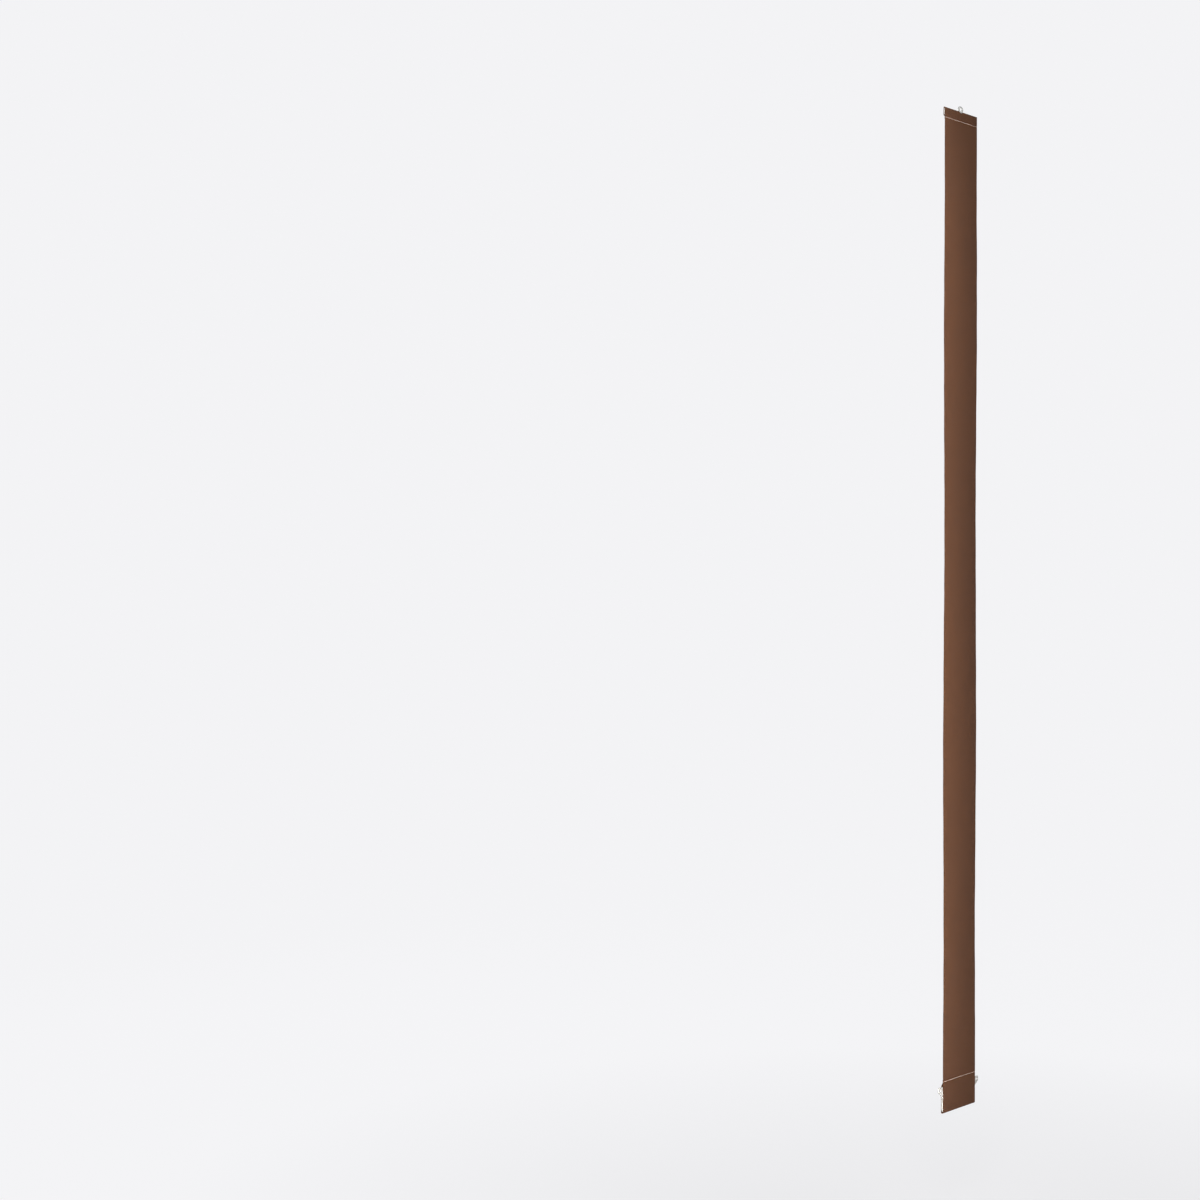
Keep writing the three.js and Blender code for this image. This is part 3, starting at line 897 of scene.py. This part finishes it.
def cloth_material(weave, fibre):
    material, w, surface = new_material("brown_blind_cloth")
    woven = placed_group(
        w, weave, Warp_Colour=BROWN_WARP, Weft_Colour=BROWN_WEFT, Pitch=WEAVE_PITCH, Slub=WEAVE_SLUB,
        Unevenness=WEAVE_UNEVENNESS)
    fuzz = placed_group(w, fibre, Size=FUZZ_SIZE, Depth=FUZZ_DEPTH)
    # A narrow band along both side edges is mixed towards a dark brown and made a little smoother
    from_middle = w.math("ABSOLUTE", w.parts(w.place())["X"])
    in_band = w.math("SUBTRACT", from_middle, HALF_WIDTH - EDGE_BAND_WIDTH)
    edge_band = w.math("MULTIPLY", in_band, 1 / EDGE_BAND_WIDTH, clamp=True)
    open_cloth = w.shaded(woven["Colour"], fuzz["Shade"])
    w.put(w.mix(w.math("MULTIPLY", edge_band, EDGE_DARKENING_SHARE), open_cloth, DARK_EDGE_BROWN), surface["Base Color"])
    w.put(w.math("MULTIPLY_ADD", edge_band, EDGE_BAND_POLISH, woven["Roughness"]), surface["Roughness"])
    weave_normal = bumped(w, woven["Height"], WEAVE_BUMP)
    w.put(bumped(w, fuzz["Height"], FUZZ_BUMP, weave_normal), surface["Normal"])
    surface["Sheen Weight"].default_value = CLOTH_SHEEN
    surface["Sheen Roughness"].default_value = 0.5
    surface["Specular IOR Level"].default_value = CLOTH_SPECULAR
    return material


def thread_material(fibre):
    material, w, surface = new_material("cream_sewing_thread")
    fuzz = placed_group(w, fibre, Size=THREAD_FUZZ_SIZE, Depth=THREAD_FUZZ_DEPTH)
    in_shade = w.math("SUBTRACT", fuzz["Height"], THREAD_SHADE_START, clamp=True)
    w.put(w.mix(in_shade, THREAD_CREAM, THREAD_SHADE), surface["Base Color"])
    rough = w.math("MULTIPLY_ADD", fuzz["Height"], THREAD_ROUGHNESS[1], THREAD_ROUGHNESS[0])
    w.put(rough, surface["Roughness"])
    w.put(bumped(w, fuzz["Height"], THREAD_FUZZ_BUMP), surface["Normal"])
    surface["Sheen Weight"].default_value = THREAD_SHEEN
    return material


def plastic_material(name, skin, clean, aged, ageing, grain):
    material, w, surface = new_material(name)
    moulded = placed_group(w, skin, Clean_Colour=clean, Aged_Colour=aged, Ageing=ageing, Grain_Size=grain)
    w.put(moulded["Colour"], surface["Base Color"])
    w.put(moulded["Roughness"], surface["Roughness"])
    w.put(bumped(w, moulded["Height"], MOULDED_BUMP), surface["Normal"])
    surface["Subsurface Weight"].default_value = PLASTIC_GLOW_THROUGH
    surface["Subsurface Radius"].default_value = PLASTIC_GLOW_RADIUS
    surface["Subsurface Scale"].default_value = PLASTIC_GLOW_SCALE
    return material


def dress(piece, material, *nodes, slot):
    piece.data.materials.clear()
    piece.data.materials.append(material)
    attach(piece, "root")
    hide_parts(*nodes)


# Stage: a round cove, so that every side of the object has the same pale ground

def cove_mesh(floor_z):
    flat = FLOOR_RINGS[-1]
    profile = [(radius, 0) for radius in FLOOR_RINGS]
    for a in np.linspace(COVE_BEND_START, math.pi / 2, COVE_BEND_STEPS):
        profile.append((flat + COVE_BEND * math.sin(a), COVE_BEND - COVE_BEND * math.cos(a)))
    profile.append((flat + COVE_BEND, COVE_HEIGHT))
    vertices = [(0, 0, floor_z)]
    for radius, height in profile:
        for i in range(COVE_SIDES):
            a = 2 * math.pi * i / COVE_SIDES
            vertices.append((radius * math.cos(a), radius * math.sin(a), floor_z + height))
    faces = [[0, 1 + i, 1 + (i + 1) % COVE_SIDES] for i in range(COVE_SIDES)]
    for ring in range(len(profile) - 1):
        near = 1 + ring * COVE_SIDES
        far = near + COVE_SIDES
        for i in range(COVE_SIDES):
            j = (i + 1) % COVE_SIDES
            faces.append([near + i, far + i, far + j, near + j])
    return mesh_object("cove", vertices, faces)


def cove_material():
    """Pale and matt, with a glow of the same colour for the camera that is fainter near the object.

    It is clear from outside, so that the object also shows from below the floor.
    """
    material, w, surface = new_material("pale_cove")
    surface["Base Color"].default_value = STAGE_PALE
    surface["Roughness"].default_value = COVE_ROUGHNESS
    surface["Specular IOR Level"].default_value = COVE_SPECULAR
    path = w.add("ShaderNodeLightPath").outputs
    mirrored = w.math("MAXIMUM", path["Is Glossy Ray"], path["Is Transmission Ray"])
    seen = w.math("MAXIMUM", path["Is Camera Ray"], mirrored)
    from_object = w.add("ShaderNodeVectorMath", operation="LENGTH")
    w.put(w.stretched(w.place(), (1.0, 1.0, 0.0)), from_object.inputs[0])
    past_lit = w.math("SUBTRACT", from_object.outputs["Value"], FLOOR_LIT)
    away = w.math("DIVIDE", past_lit, FLOOR_FADE, clamp=True)
    glow_share = w.math("MULTIPLY_ADD", away, WALL_GLOW - FLOOR_GLOW, FLOOR_GLOW)
    glow = w.add("ShaderNodeEmission")
    glow.inputs["Color"].default_value = STAGE_PALE
    blend = w.add("ShaderNodeMixShader")
    nodes = material.node_tree.nodes
    w.put(w.math("MULTIPLY", seen, glow_share), blend.inputs[0])
    w.put(nodes["Principled BSDF"].outputs[0], blend.inputs[1])
    w.put(glow.outputs[0], blend.inputs[2])
    seen_through = w.add("ShaderNodeMixShader")
    w.put(w.add("ShaderNodeNewGeometry").outputs["Backfacing"], seen_through.inputs[0])
    w.put(blend.outputs[0], seen_through.inputs[1])
    w.put(w.add("ShaderNodeBsdfTransparent").outputs[0], seen_through.inputs[2])
    w.put(seen_through.outputs[0], nodes["Material Output"].inputs["Surface"])
    return material


def make_cove(floor_z):
    cove = cove_mesh(floor_z)
    cove.data.shade_smooth()
    cove.data.materials.append(cove_material())


def make_world():
    world = bpy.data.worlds.new("studio")
    bpy.context.scene.world = world
    world.use_nodes = True
    w = Wiring(world.node_tree)
    ambient = world.node_tree.nodes["Background"]
    ambient.inputs["Color"].default_value = PLAIN_WHITE
    ambient.inputs["Strength"].default_value = AMBIENT
    seen = w.add("ShaderNodeBackground")
    seen.inputs["Color"].default_value = STAGE_PALE
    path = w.add("ShaderNodeLightPath").outputs
    blend = w.add("ShaderNodeMixShader")
    w.put(path["Is Camera Ray"], blend.inputs[0])
    w.put(ambient.outputs[0], blend.inputs[1])
    w.put(seen.outputs[0], blend.inputs[2])
    w.put(blend.outputs[0], world.node_tree.nodes["World Output"].inputs["Surface"])


def softbox(name, place, aim, size, power, colour, spread):
    lamp = bpy.data.lights.new(name, "AREA")
    lamp.shape = "RECTANGLE"
    lamp.size, lamp.size_y = size
    lamp.energy = power
    lamp.color = colour
    lamp.spread = math.radians(spread)
    holder = linked(name, lamp)
    holder.location = place
    holder.rotation_euler = (Vector(aim) - Vector(place)).to_track_quat("-Z", "Y").to_euler()
    holder.visible_camera = False


def make_camera():
    data = bpy.data.cameras.new("photo_camera")
    data.sensor_width = SENSOR
    data.lens = FOCAL_PIXELS / PHOTO_SIZE * SENSOR
    data.shift_y = (HORIZON_PIXEL - PHOTO_SIZE / 2) / PHOTO_SIZE
    camera = linked("photo_camera", data)
    camera.location = Vector((-HALF_WIDTH, LEAF_FRONT, BOTTOM_FOLD)) + CAMERA_FROM_CORNER
    forward = Vector((
        math.cos(CAMERA_YAW) * math.cos(CAMERA_PITCH), math.sin(CAMERA_YAW) * math.cos(CAMERA_PITCH),
        -math.sin(CAMERA_PITCH)))
    camera.rotation_euler = forward.to_track_quat("-Z", "Y").to_euler()
    bpy.context.scene.camera = camera


bpy.context.scene.view_settings.view_transform = "Standard"
make_camera()
make_world()
make_cove(BOTTOM_FOLD - FLOOR_GAP)
softbox("key_box", **KEY_BOX)
softbox("fill_box", **FILL_BOX)
softbox("back_box", **BACK_BOX)
softbox("top_box", **TOP_BOX)

weave = weave_group()
fibre = fibre_group()
skin = moulded_group()
cloth, strip_length = make_cloth()
hanger = make_hanger()
weight = make_weight()
top_thread = make_stitching("top_seam_thread", TOP_SEAM)
bottom_thread = make_stitching("bottom_seam_thread", BOTTOM_SEAM)

dress(cloth, cloth_material(weave, fibre), "fabric_vane", slot="cloth")
thread_finish = thread_material(fibre)
dress(top_thread, thread_finish, "top_stitching", slot="thread")
dress(bottom_thread, thread_finish, "bottom_stitching", slot="thread")
hanger_finish = plastic_material(
    "hanger_natural", skin, HANGER_NATURAL, HANGER_AGED, HANGER_AGEING, HANGER_GRAIN)
dress(hanger, hanger_finish, "top_hanger", slot="hanger_plastic")
weight_finish = plastic_material(
    "weight_white", skin, WEIGHT_WHITE, WEIGHT_AGED, WEIGHT_AGEING, WEIGHT_GRAIN)
dress(weight, weight_finish, "bottom_weight", slot="weight_plastic")
